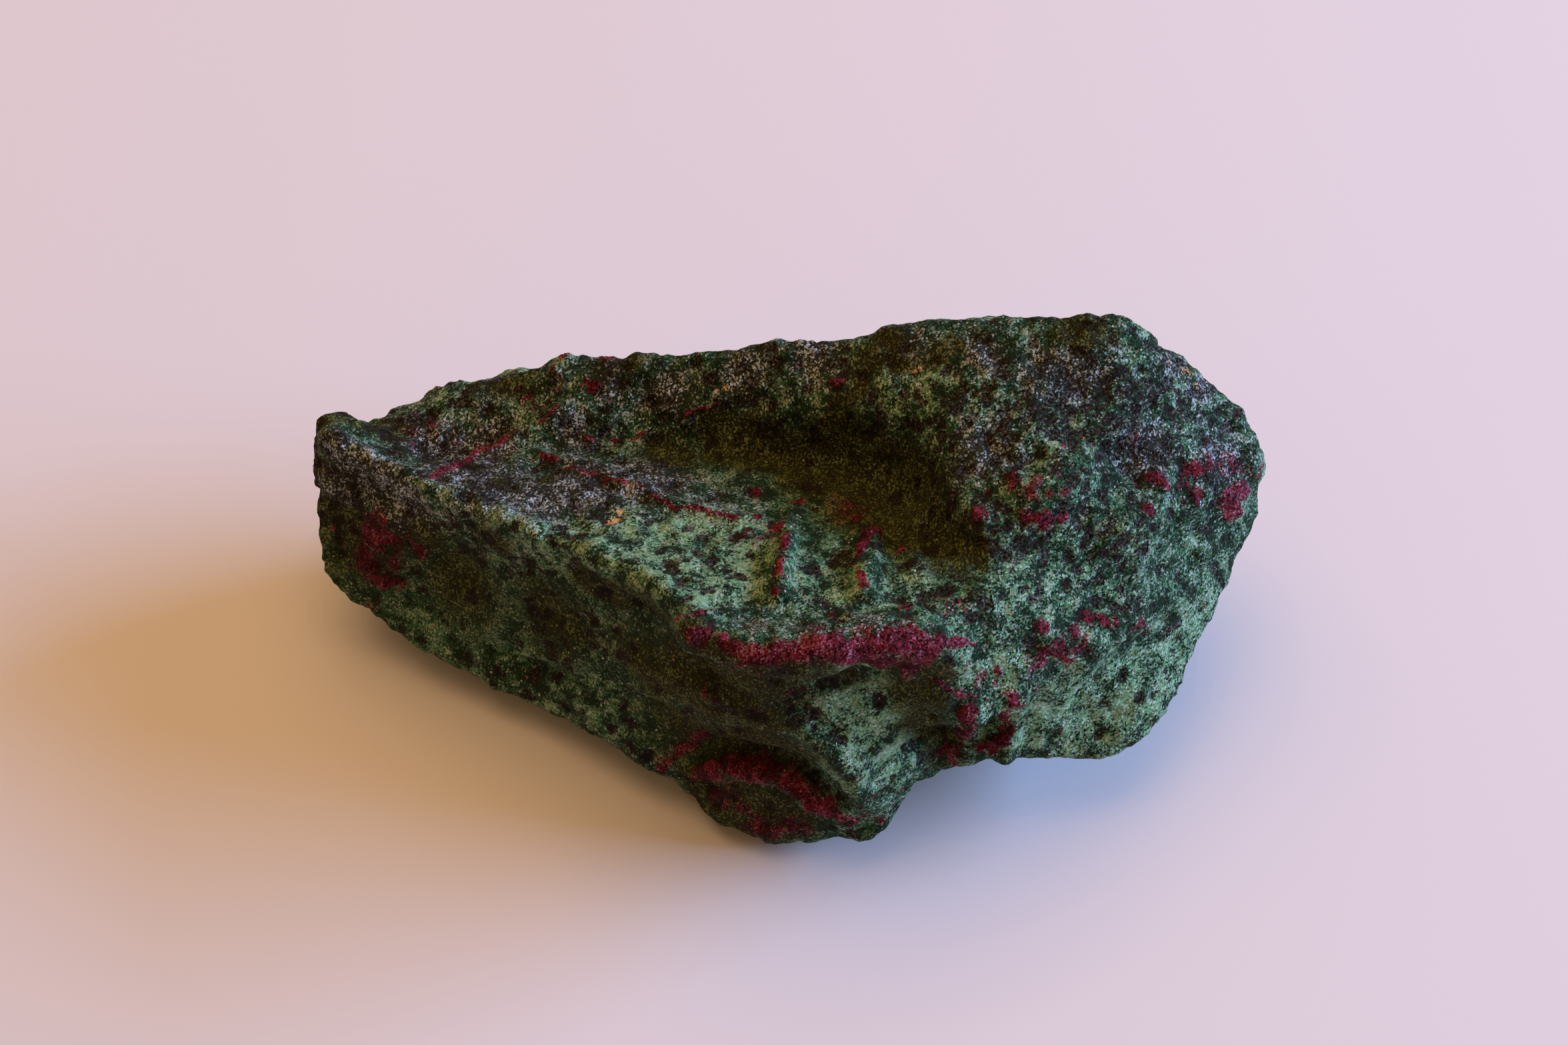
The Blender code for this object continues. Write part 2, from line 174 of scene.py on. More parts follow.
PATCHES: dict[Mineral, tuple[Patch, ...]] = {
    Mineral.RUBY: (
        # crumbs beside the crest band
        Patch(0.7, ((4.5, -16.5, 32), (6.5, -17, 32.5), (11, -16, 32.5), (12, -16, 32.5)), 0.8),
        Patch(1.3, ((16, -15.5, 31.5), (17.5, -14.5, 31.5), (15.5, -16, 32)), 0.62),
        Patch(1.6, ((-6.5, -20.5, 33.5), (5.5, -20, 33.5), (11.5, -19, 33)), 0.6),
        # the chain across the right-hand slab and the field below it
        Patch(0.8, ((25, -14.5, 27.5), (29, -14, 25.5), (30, -12.5, 25.5), (31.5, -12, 25))),
        Patch(0.9, ((32.5, -12, 24.5), (35, -11, 23), (36, -10, 21.5)), 0.8),
        Patch(0.8, ((37, -9.5, 20), (39, -8, 18), (26.5, -15.5, 26)), 0.7),
        Patch(1.4, ((25.5, -16.5, 25.5), (27, -15.5, 25), (25, -17, 25), (28, -15.5, 24)), 0.8),
        Patch(0.6, ((21, -18.5, 25.5), (23, -18, 24.5), (22.5, -20, 23), (29.5, -15, 24))),
        Patch(2.2, ((17, -20, 27.5), (19, -19.5, 25.5), (8, -19.5, 33.2), (3, -20, 33.3)), 0.54),
        Patch(2.5, ((24, -18, 22), (29.5, -14.5, 24.5)), 0.5),
        # the flank of the hump
        Patch(0.6, ((21.5, -6.5, 33.5), (20, -3.5, 35), (26, -4, 35.5), (27.5, -4, 35.5),
            (27.5, -5.5, 33)), 0.8),
        Patch(0.9, ((24, -6, 34), (25, -6, 34), (26, -6.2, 33.5), (19, -6, 34.5))),
        Patch(2.2, ((22.5, -2.5, 36), (25, -4, 35.5)), 0.55),
        Patch(0.6, ((21.5, 3.5, 36.5), (27.5, 1, 36.5), (35, 4, 34.5)), 0.7),
        # the right end
        Patch(0.8, ((37, 1, 32), (37.5, 0.5, 31.5), (36, -2.5, 30.5), (42, 1, 29))),
        Patch(0.9, ((41, 2.5, 30.5), (42, 3, 30.5), (43, 3.5, 30))),
        Patch(0.7, ((39, -1, 29), (40, 0, 29), (43, 6, 30.5)), 0.7),
        Patch(1.3, ((45.3, 3, 25.5), (46, 2.6, 23.8), (46.6, 4, 25))),
        Patch(2.4, ((45, 5.5, 28.5), (48.5, 6.5, 26.5), (40, 1, 30.5)), 0.52),
        # the blotch low on the left tip
        Patch(1.5, ((-42, 5.5, 19), (-43, 5, 17), (-41, 4, 17.5), (-44, 4, 13.5), (-42.5, 3, 12))),
        Patch(1.0, ((-39, 3.5, 19), (-38, 2.5, 17.5), (-40.5, 2.5, 12), (-44, 2.5, 8),
            (-44, 5, 15)), 0.9),
        Patch(3.5, ((-42, 4, 15),), 0.58),
        Patch(0.6, ((-48.5, 11, 22), (-40.5, 10.5, 23.5), (-38.5, 12.5, 21.5), (-47.5, 7.5, 15),
            (-46.5, 6.5, 14)), 0.75),
        # faint mauve in the trough and a crumb on the back edge
        Patch(2.0, ((-39.5, 15, 22), (-37, 15.5, 22.5), (-35.5, 14.5, 22.5), (-28, 17, 25),
            (-24, 17.5, 27)), 0.5),
        Patch(0.8, ((-23.5, 20, 27.5), (-20, 16.5, 27.5), (-18.5, 19.5, 28.5))),
        # where the trough meets the ribs
        Patch(0.8, ((-1, -4, 29), (1.5, 1.5, 27), (7, -1, 27.5), (11.5, -7, 30))),
        Patch(3.0, ((6, 0.5, 27), (-2.5, -4.5, 29.5)), 0.52),
        # the field of the flake, the foot of the knob and the face above
        Patch(2.8, ((-6, -21, 6.5), (-3, -23, 5), (0, -23, 6), (-7, -20, 8.5)), 0.62),
        Patch(1.3, ((-7, -20, 6.5), (-4.5, -22, 6), (-2.5, -23, 4.5), (-1, -23.5, 4.5),
            (2, -23.5, 5.5)), 0.75),
        Patch(0.6, ((9.5, -24, 7.5), (7, -24.5, 7.5))),
        Patch(1.6, ((5.5, -24.8, 9), (8, -25, 9)), 0.6),
        Patch(1.0, ((-8, -19, 22.5), (-7, -19.5, 22.5), (-3, -21.5, 23.5), (-5, -21.5, 31),
            (-2, -22.5, 31)), 0.62),
        Patch(1.6, ((19.5, -19.5, 25.5), (21, -19.5, 24)), 0.55),
        Patch(0.6, ((18, -18, 14), (17, -17.5, 12), (15, -18.5, 11), (18, -22, 23))),
        # the back and the underside
        Patch(2.2, ((-12, 24.5, 16), (22, 22, 18), (40, 14, 16), (-34, 18, 12)), 0.66),
        Patch(1.1, ((-37, 22, 20), (-35, 22.5, 19), (-30, 23, 20), (-26, 24, 20.5), (-18, 25, 23),
            (-8, 26, 24))),
        Patch(0.8, ((-33, 23, 21.5), (-27.5, 23.5, 18.5), (8, 25.5, 22.5), (14, 25, 21),
            (20, 23, 24), (26, 22, 25.5)), 0.9),
        Patch(1.6, ((-24, 4, 0), (4, -2, 0), (18, 8, 4), (-6, 14, 0), (32, 8, 8)), 0.8),
    ),
    Mineral.STAIN_AND_SHADE: (
        # the red-brown field of the flake
        Patch(3.0, ((-8, -19.5, 6.5), (-5.5, -21.5, 7), (-2, -22.5, 7.5), (0, -23, 6),
            (-4, -23, 4))),
        # brown weathering along the foliation, on the skyline and underneath; in the hollow under
        # the hump, the bay, below the band, the ridge's pits and over the shaded faces the brown
        # is partly painted shade
        Patch(4.5, ((8.5, 6.5, 27.5), (11.5, 3.5, 28), (13.5, -1, 29.5), (9.5, 0.5, 27),
            (4, 7.5, 25.5)), 0.95),
        Patch(3.5, ((1.5, 8, 25.5), (-2.5, 10, 26.5), (12, -4, 29), (14.5, -5, 30),
            (17, -8, 31.5)), 0.8),
        Patch(1.6, ((5.5, 9.5, 32), (7, 11, 34), (8.5, 13, 35), (10.5, 15, 37), (5, 9, 29.5))),
        Patch(1.2, ((14.5, 12, 37), (15.8, 12.6, 37.5), (17, 13, 38), (11.5, 12, 36)), 0.9),
        Patch(2.2, ((-47, 14.5, 24.5), (-44, 15, 23), (-41.5, 14, 22), (-48.5, 13, 22))),
        Patch(1.2, ((-24.5, 5, 26), (-29, 4.5, 26.5)), 0.8),
        Patch(2.2, ((-13, 10, 25.5), (-11.5, 9.5, 25), (-6, 9.5, 25), (-7.5, 11.5, 26.5),
            (-1, 10.5, 27)), 0.95),
        Patch(3.0, ((-16, 20, 29), (-10, 21, 31), (-3, 20, 33), (30, 13, 40.5),
            (-30, 20, 25)), 0.7),
        # the bay beside the knob: brown as painted shade
        Patch(2.8, ((13, -19.5, 28), (13.5, -20.5, 25), (14, -19, 20), (15, -17.5, 13))),
        # the band's left end, turned from the light: brown as painted shade
        Patch(1.5, ((-8.5, -20, 33), (-6.5, -21, 33), (-7.5, -20, 32))),
        Patch(2.0, ((-20, -7.5, 26), (-17, -9.5, 26.5), (-14.5, -11.5, 28), (-12.5, -13.5, 29),
            (-30, -2, 25)), 0.9),
        Patch(2.2, ((-47.5, 9.5, 16.5), (-45, 8, 16), (-43, 6.5, 16.5), (-40, 5, 17.5),
            (-37, 2.5, 20)), 0.95),
        # the faces below the band, the undercut and the left face: brown partly as painted shade
        Patch(4.5, ((-5, -21, 20.5), (-7, -19.5, 23), (-3, -20.5, 27), (-9, -17, 23),
            (-5.5, -19.5, 12.5)), 0.9),
        Patch(1.8, ((-3, -23, 31), (0, -23, 31), (2.5, -23, 31.5), (5.5, -20.5, 27),
            (14.5, -20.5, 28))),
        Patch(4.0, ((-3, -21.5, 22), (-8, -19, 26), (-1, -22.5, 17), (-4, -22, 9)), 0.8),
        Patch(6.0, ((-44, 6, 14), (-34, -1, 16), (-24, -7, 18), (-14, -14, 20),
            (-10, -16, 13)), 0.64),
        Patch(7.0, ((0, 0, 0), (-24, 4, 2), (20, 2, 3)), 0.5),
    ),
    Mineral.HORNBLENDE: (
        # the share of dark grains: the salt-and-pepper hump, the left trough, the tip, the back
        Patch(6.0, ((29, 6, 37), (26.5, 4, 37), (33.5, 3, 35), (37, 5, 34), (40.5, 7, 33),
            (21, 5, 37))),
        Patch(3.2, ((-46, 14, 24.5), (-43, 14, 23), (-41, 13, 22), (-48, 13, 24),
            (-45, 15.5, 22))),
        # near-black grains fill the ridge's dents: painted shade in the pits
        Patch(1.6, ((-32.5, -0.5, 25.5), (-21, -6.5, 26), (-18.5, -9, 25.5),
            (-14.5, -11.5, 26.5))),
        Patch(4.0, ((27, -1, 36), (30, 1, 35.5), (17.5, 2, 36), (16.5, -0.5, 35), (32.5, -3.5, 32),
            (31, -4.5, 32)), 0.9),
        Patch(3.0, ((20.5, -4.5, 34.5), (21, -6, 34), (25, -7.5, 33), (17, -5, 33))),
        Patch(3.0, ((29.5, 11, 40), (33, 11, 39.5), (29.5, 9.5, 38.5), (39, 11.5, 36),
            (45, 8, 30)), 0.7),
        Patch(4.0, ((-34, 7.5, 25), (-30, 4.5, 26.5), (-25.5, 2.5, 27), (-31, 2, 27.5),
            (-26.5, 5, 26.5), (-20, 2, 27)), 0.75),
        Patch(4.0, ((-45, 18.5, 18.5), (-41.5, 14, 22), (-39.5, 13, 22), (-46, 14, 22),
            (-47, 8, 20))),
        Patch(3.0, ((-35.5, 2, 22.5), (-32.5, 0, 24), (-31, -1, 22.5), (-37, 4, 21)), 0.7),
        Patch(2.0, ((-23, -5, 28.5), (-22, -6, 28.5), (-9, -9, 30.5), (-8, -10, 31),
            (1.5, -21.5, 25)), 0.95),
        # near-black grains fill the dents of the left face: painted shade in them
        Patch(2.0, ((-25, -5, 17), (-24, -7, 14.5), (-19, -10, 18.5), (-26.5, -4, 21.5),
            (-28.5, -2.5, 22.5))),
        Patch(4.0, ((17, -12, 32), (20, -10, 32), (24, -9, 31.5), (29, -10, 28.5),
            (35, -9, 25)), 0.5),
        Patch(5.0, ((-10, 16, 29), (-2, 16, 31), (-18, 17, 28), (6, 16, 35), (-30, 18, 24)), 0.5),
        Patch(2.2, ((8, -22, 22), (11, -22.5, 16), (-14, -3, 28.5), (-11, -6, 29.5)), 0.2),
        Patch(8.0, ((-20, 22, 12), (12, 24, 18), (34, 16, 26), (-4, 6, 0)), 0.6),
    ),
    Mineral.SUGARY: (
        # pale, sugary zoisite on the ridge, the shoulder, the knob and the folded tip
        Patch(3.5, ((-15.5, -2, 28.5), (-12, -4, 29), (-8.5, -3, 28.5), (-13, -8.5, 30.5),
            (-7.5, -13.5, 32)), 0.9),
        Patch(3.0, ((-28, -1.5, 28), (-26, -3, 28.5), (-24.5, -4.5, 28), (-11.5, -11, 31.5),
            (-4.5, -9, 30)), 0.9),
        Patch(1.2, ((-46.5, 11, 26), (-44.5, 10, 26), (-42.5, 9, 26), (-39.5, 6, 26.5),
            (-36.5, 3.5, 27), (-34.5, 2, 27.5), (-32, 0, 27.5))),
        Patch(3.5, ((6, -21, 24.5), (8, -21.5, 23.5), (10.5, -21.5, 21), (7.5, -23.5, 20.5),
            (11, -22.5, 16))),
        Patch(4.0, ((4, -13, 32), (11, -12, 32), (19, -14, 31), (24.5, -10, 31),
            (21, -17, 28)), 0.45),
        Patch(1.6, ((-27.5, -1.5, 28.5), (-26, -3.5, 28.5), (-18, -6, 30), (-16.5, -8, 30.5),
            (-9.5, -9.5, 31))),
        Patch(2.0, ((17.5, -19.5, 27.5), (20, -19, 25), (21, -20, 23.5), (22.5, -20.5, 22)), 0.9),
        Patch(3.0, ((10, 8.5, 34.5), (13.5, 8.5, 36), (15.5, 9.5, 37), (20, 5, 37),
            (24, 0.5, 36)), 0.5),
        Patch(5.0, ((29, -9.5, 28), (35, -8, 25.5), (38.5, -7, 21.5), (44.5, 0.5, 23)), 0.3),
        Patch(5.0, ((25.5, -17.5, 15.5), (30, -15.5, 15), (34, -14.5, 14), (37, -15, 12),
            (41, -9, 14))),
        Patch(2.4, ((-35.5, 2, 23), (-22.5, -6, 23.5), (-30, -3.5, 14), (-33, -1, 14),
            (-12, -15, 13), (-19, -9, 14)), 0.36),
        Patch(8.0, ((-30, 22, 16), (0, 25, 14), (26, 22, 12)), 0.6),
        # the tip below its crest
        Patch(2.5, ((-46, 9.5, 25), (-43.5, 8, 24.5), (-40.5, 6, 24.5), (40.5, 12, 35)), 0.9),
    ),
    Mineral.DUST: (
        # greyish mauve dust in the trough, on the tip, the skyline and around the band
        Patch(5.0, ((-34, 7.5, 25), (-30, 4.5, 26.5), (-25.5, 2.5, 27), (-20, 4, 26.5),
            (-14, 5, 27)), 0.82),
        Patch(3.0, ((-45, 8, 22), (-43, 6.5, 23), (-41, 5, 22), (-38.5, 3.5, 22.5),
            (-46.5, 9, 20))),
        Patch(2.2, ((-46, 9.5, 25), (-44, 8, 24.5), (-41.5, 6.5, 25), (-39.5, 5, 24.5),
            (-37.5, 3.5, 23.5))),
        Patch(4.0, ((-39.5, 15, 22), (-32, 16.5, 24), (-25, 17, 26), (-7, 2, 28)), 0.5),
        Patch(3.2, ((-39, 13.5, 21.5), (-35, 12, 22), (-31, 12, 23.5), (-33, 9, 24)), 0.95),
        Patch(4.0, ((-12, 15, 28), (-4, 15, 31), (3, 15, 34), (30, 9, 38), (20, 1, 36),
            (36, 3, 34), (44, 5, 29)), 0.7),
        Patch(3.5, ((12, 14, 37), (20, 12, 38.5), (26, 9, 38.5), (-18, 17, 28),
            (-22, 12, 25)), 0.68),
        Patch(2.2, ((39, 12, 36.5), (40.5, 12, 35), (42, 11.5, 33.5)), 0.65),
        Patch(2.5, ((-3, -18, 32.5), (2, -19, 33), (8, -18.5, 33)), 0.6),
    ),
    Mineral.MICA: (
        # loose flakes of weathered mica, and one tan, iron-stained patch on the back edge
        Patch(0.55, ((-17, -2, 28.5), (-16.5, -0.7, 28), (-17.4, -2.6, 29)), 0.9),
        Patch(0.35, ((-20, 9, 25), (13, 11, 36.5), (13.6, 11, 36.5), (-31.5, 0.5, 28),
            (-13, 8, 25), (29.5, 2.5, 36)), 0.9),
        Patch(0.4, ((-6, 14, 30), (-7, 14, 29.5), (-48, 10.5, 21), (-11, -15.5, 23.5),
            (-2.5, -22, 20.5), (30, 24, 20)), 0.85),
        Patch(0.8, ((-28.5, 19, 26.5), (-27.3, 19.2, 27)), 0.9),
        Patch(0.5, ((39, 12, 36.5), (40.5, 12, 35), (42, 11.5, 33.5), (41, 12.3, 34.2)), 0.75),
    ),
}

FOLDS = (
    # the sharp, pale crest that runs from the left tip along the trough
    Fold(0.55, 0.8, ((-46.5, 11, 26), (-44.5, 10, 26), (-42.5, 9, 26), (-39.5, 6, 26.5),
        (-36.5, 3.5, 27))),
    Fold(-0.7, 1.8, ((-45.5, 7.5, 22), (-42, 6, 22.5), (-39, 4, 23))),
    Fold(1.1, 2.0, ((-47, 14, 24.5), (-45, 14, 24), (-42, 13.7, 22.5), (-40.5, 12.5, 22))),
    Fold(1.5, 2.3, ((-47, 9.5, 20), (-44.5, 7, 19.5), (-41.5, 5, 20.5), (-38.5, 3, 21))),
    Fold(-0.9, 1.0, ((-49, 10, 18), (-47.5, 6, 12), (-48.5, 11.5, 21), (-44, 7.5, 21.5),
        (-41, 5.5, 22.5)), apart=True),
    Fold(0.5, 1.0, ((-45.5, 9, 24.5), (-42.5, 7, 24.5), (-39.5, 5, 24), (-44.5, 8.5, 20),
        (-48.5, 9, 19)), apart=True),
    # nicks in the ridge, with dark pits
    Fold(-0.9, 1.3, ((-22.5, -5.5, 28), (-32.5, -0.5, 25.5), (-21, -6.5, 26),
        (-18.5, -9, 25.5)), apart=True),
    Fold(-0.7, 1.2, ((-14.5, -11.5, 26.5), (-11.5, -16, 31.5), (-35, 2, 25.5)), apart=True),
    Fold(0.5, 1.5, ((-28, -1.5, 28), (-25.5, -3.5, 28.5), (-18, -6.5, 29.5),
        (-14.5, -9.5, 30)), apart=True),
    # ribs and scoops where the trough meets the crest
    Fold(0.45, 0.7, ((0.8, -5, 30), (0.4, -7.5, 31), (-0.2, -11, 32), (-0.6, -14, 32))),
    Fold(0.5, 0.8, ((9, -5, 30), (8.5, -9, 31), (8.5, -11.5, 32), (8.3, -14, 32.5))),
    Fold(-0.4, 1.5, ((4.5, -8, 30.5), (4.5, -12, 31.5))),
    Fold(-0.35, 1.3, ((-3, -8, 30.5), (-3.2, -13, 31.5))),
    # the undercut below the band, the bay and the dents beside the knob
    Fold(-0.3, 1.2, ((-4, -23, 31), (0, -23.5, 31), (3, -23.5, 31))),
    Fold(-0.6, 1.5, ((1, -21.5, 24.5), (3, -22.5, 22.5), (2, -23, 19))),
    Fold(1.6, 3.0, ((14.5, -18.5, 21), (15, -17.5, 16), (15.5, -17.5, 12))),
    # the flake's raised rim, with a crack above it
    Fold(0.6, 1.0, ((-8, -19.5, 8.5), (-5.5, -20.8, 11), (-2, -22.3, 12.3), (1, -23, 11.8),
        (3.5, -24.3, 10))),
    Fold(-0.7, 0.8, ((-10, -18.3, 9), (-8, -18.7, 11.5), (-5.5, -20, 14), (-1.5, -21.5, 15.2),
        (1.5, -22.5, 14.5), (4, -24, 12.5))),
    # the ledges and shallow dents of the left face
    Fold(0.7, 0.8, ((-28.5, -5, 9), (-27, -5.5, 10.5), (-26, -6, 11), (-24.5, -7, 11.5),
        (-22.5, -8.5, 13))),
    Fold(-0.7, 1.0, ((-27.5, -5.5, 8.5), (-25.5, -7, 9.3), (-24, -8, 10), (-22, -9.5, 11))),
    Fold(-0.6, 0.9, ((-25, -5, 17), (-24, -7, 14.5), (-19, -10, 18.5), (-26.5, -4, 21.5),
        (-36, 1.5, 17)), apart=True),
    Fold(0.5, 1.3, ((-33, -1, 14), (-30.5, -4, 12), (-22, -9, 16), (-17.5, -10.5, 15),
        (-13.5, -14, 15.5)), apart=True),
    Fold(-0.5, 2.4, ((-36, 1, 17), (-28, -5, 13), (-20, -10, 21))),
    Fold(-0.4, 2.0, ((-32, -2, 9), (-15, -14, 14), (-26, -5, 22))),
    Fold(0.4, 2.2, ((-30, -3, 18), (-22, -9, 14), (-16, -13, 22), (-12, -16, 17))),
    # dents over the hump and the slab
    Fold(-0.4, 1.6, ((20, -4.5, 34.5), (28, 3, 36.5), (35, 0.5, 33.5), (24, -9, 32),
        (33, -8, 27))),
    Fold(0.35, 1.8, ((24, 2, 37), (31, -1, 34.5), (39, 4, 32.5), (28, -12, 28), (20, -13, 32))),
)


def linear(colour: str) -> tuple[float, float, float, float]:
    """Turns an sRGB colour into the linear one that a shader takes.

    Args:
        colour: the colour as "#RRGGBB".

    Returns:
        Red, green, blue and an alpha of 1.
    """
    parts = [int(colour[i : i + 2], 16) / 255 for i in (1, 3, 5)]
    red, green, blue = [c / 12.92 if c <= 0.04045 else ((c + 0.055) / 1.055) ** 2.4 for c in parts]
    return red, green, blue, 1.0


def per_metre(size_mm: float) -> float:
    """Gives a pattern's scale from the size of one of its cells in millimetres."""
    return 1 / MM / size_mm


def add_node(
    tree: bpy.types.NodeTree, kind: str, sockets: dict | None = None, **settings: object
) -> bpy.types.Node:
    """Adds one node, with its settings, and fills or links its sockets.

    Args:
        tree: the tree that the node goes in.
        kind: the node's kind, without "ShaderNode".
        sockets: for an input's name or number, a plain value or the output to link it to.
            A node stands for its own first output.
        **settings: the node's own properties.

    Returns:
        The new node.
    """
    node = tree.nodes.new("ShaderNode" + kind)
    for name, value in settings.items():
        setattr(node, name, value)
    for name, value in (sockets or {}).items():
        if isinstance(value, bpy.types.Node):
            value = next(output for output in value.outputs if output.enabled)
        if isinstance(value, bpy.types.NodeSocket):
            tree.links.new(value, node.inputs[name])
        else:
            node.inputs[name].default_value = value
    return node


def distance_to_path(points: np.ndarray, path: tuple[Place, ...]) -> np.ndarray:
    """Measures each point's distance to a line of straight pieces.

    Args:
        points: places in millimetres.
        path: the line's corners, or one place.

    Returns:
        One distance for each point, in millimetres.
    """
    corners = np.array(path, float)
    nearest = np.linalg.norm(points - corners[0], axis=1)
    for start, end in zip(corners, corners[1:]):
        along = end - start
        share = np.clip((points - start) @ along / (along @ along), 0, 1)
        reach = np.linalg.norm(points - start - share[:, None] * along, axis=1)
        nearest = np.minimum(nearest, reach)
    return nearest


@dataclass(frozen=True)
class Pattern:
    """A random pattern that fills the stone."""

    size: float  # of one lump, bend or grain, in millimetres
    shift: float  # so that no two patterns match
    octaves: int = 1  # how many layers there are, each finer than the last
    roughness: float = 0.8  # how fast the finer layers fade
    finer: float = 2.0  # how much finer each layer is

    def places(self, points: np.ndarray) -> list[Vector]:
        """Scales points to the pattern's own unit, and shifts them.

        Args:
            points: places in millimetres.

        Returns:
            The places that the pattern is read at.
        """
        away = np.array([self.shift, 0.7 * self.shift, -1.3 * self.shift])
        return [Vector(place) for place in points / self.size + away]

    def lumps(self, points: np.ndarray) -> np.ndarray:
        """Reads a fractal noise at each point.

        Args:
            points: places in millimetres.

        Returns:
            One number for each point, about -1 to 1.
        """
        return np.array(
            [
                noise.fractal(place, self.roughness, self.finer, self.octaves)
                for place in self.places(points)
            ]
        )

    def bent(self, points: np.ndarray, reach: float) -> np.ndarray:
        """Moves each point by a smooth noise, which makes the edge of a seam irregular.

        Args:
            points: places in millimetres.
            reach: about how far a point moves, in millimetres.

        Returns:
            The moved points.
        """
        return points + reach * np.array(
            [noise.noise_vector(place) for place in self.places(points)]
        )

    def crystals(self, points: np.ndarray) -> tuple[np.ndarray, np.ndarray]:
        """Finds the crystal grain that each point lies in.

        Args:
            points: places in millimetres.

        Returns:
            How deep in its grain each point lies, from 0 at the border to 1 at the middle, and
            a random number from 0 to 1 that is the same all over one grain.
        """
        depth, dice = np.empty(len(points)), np.empty(len(points))
        for i, place in enumerate(self.places(points)):
            away, middles = noise.voronoi(place)
            depth[i] = 1 - away[0] / max(away[1], 1e-6)
            # The factor takes neighbouring grains to different cells of the noise.
            dice[i] = 0.5 + 0.5 * noise.cell(9.7 * middles[0])
        return depth, dice


@dataclass(frozen=True)
class RockPatterns:
    """The attributes and noises that the shader mixes every mineral from."""

    tree: bpy.types.NodeTree
    found: dict[Mineral, bpy.types.NodeSocket]  # each mineral's share, laid on the skin
    grains: bpy.types.Node
    crystals: bpy.types.Node
    tone: bpy.types.NodeSocket  # three random numbers of each grain
    pick: bpy.types.NodeSocket
    edge: bpy.types.NodeSocket
    mottle: bpy.types.Node  # changes over a few millimetres
    dust: bpy.types.Node  # and over about half a millimetre

    def frayed(self, mineral: Mineral, fray: Span) -> bpy.types.Node:
        """Makes a mineral's edge ragged.

        Args:
            mineral: the mineral whose share on the skin is frayed.
            fray: how much the dust noise moves the edge, and how much single grains do.

        Returns:
            The frayed share.
        """
        sockets = {0: self.dust, 1: fray[0], 2: self.found[mineral]}
        ragged = add_node(self.tree, "Math", sockets, **SCALED_SUM)
        return add_node(self.tree, "Math", {0: self.edge, 1: fray[1], 2: ragged}, **SCALED_SUM)

    def covered(
        self, amount: Source, span: Span, under: Source, over: Source, most: float = 1.0
    ) -> tuple[bpy.types.Node, bpy.types.Node]:
        """Lays one colour over another, as far as an amount says.

        Args:
            amount: the number that decides it.
            span: the amount where the colour starts to show, and where it covers most.
            under: the colour below.
            over: the colour laid on it.
            most: how much it covers there, from 0 to 1.

        Returns:
            The mixed colour, and how much of it is the upper one.
        """
        sockets = {"Value": amount, "From Min": span[0], "From Max": span[1], "To Max": most}
        cover = add_node(self.tree, "MapRange", sockets, **EASED)
        return add_node(self.tree, "Mix", {0: cover, 6: under, 7: over}, **MIXED), cover


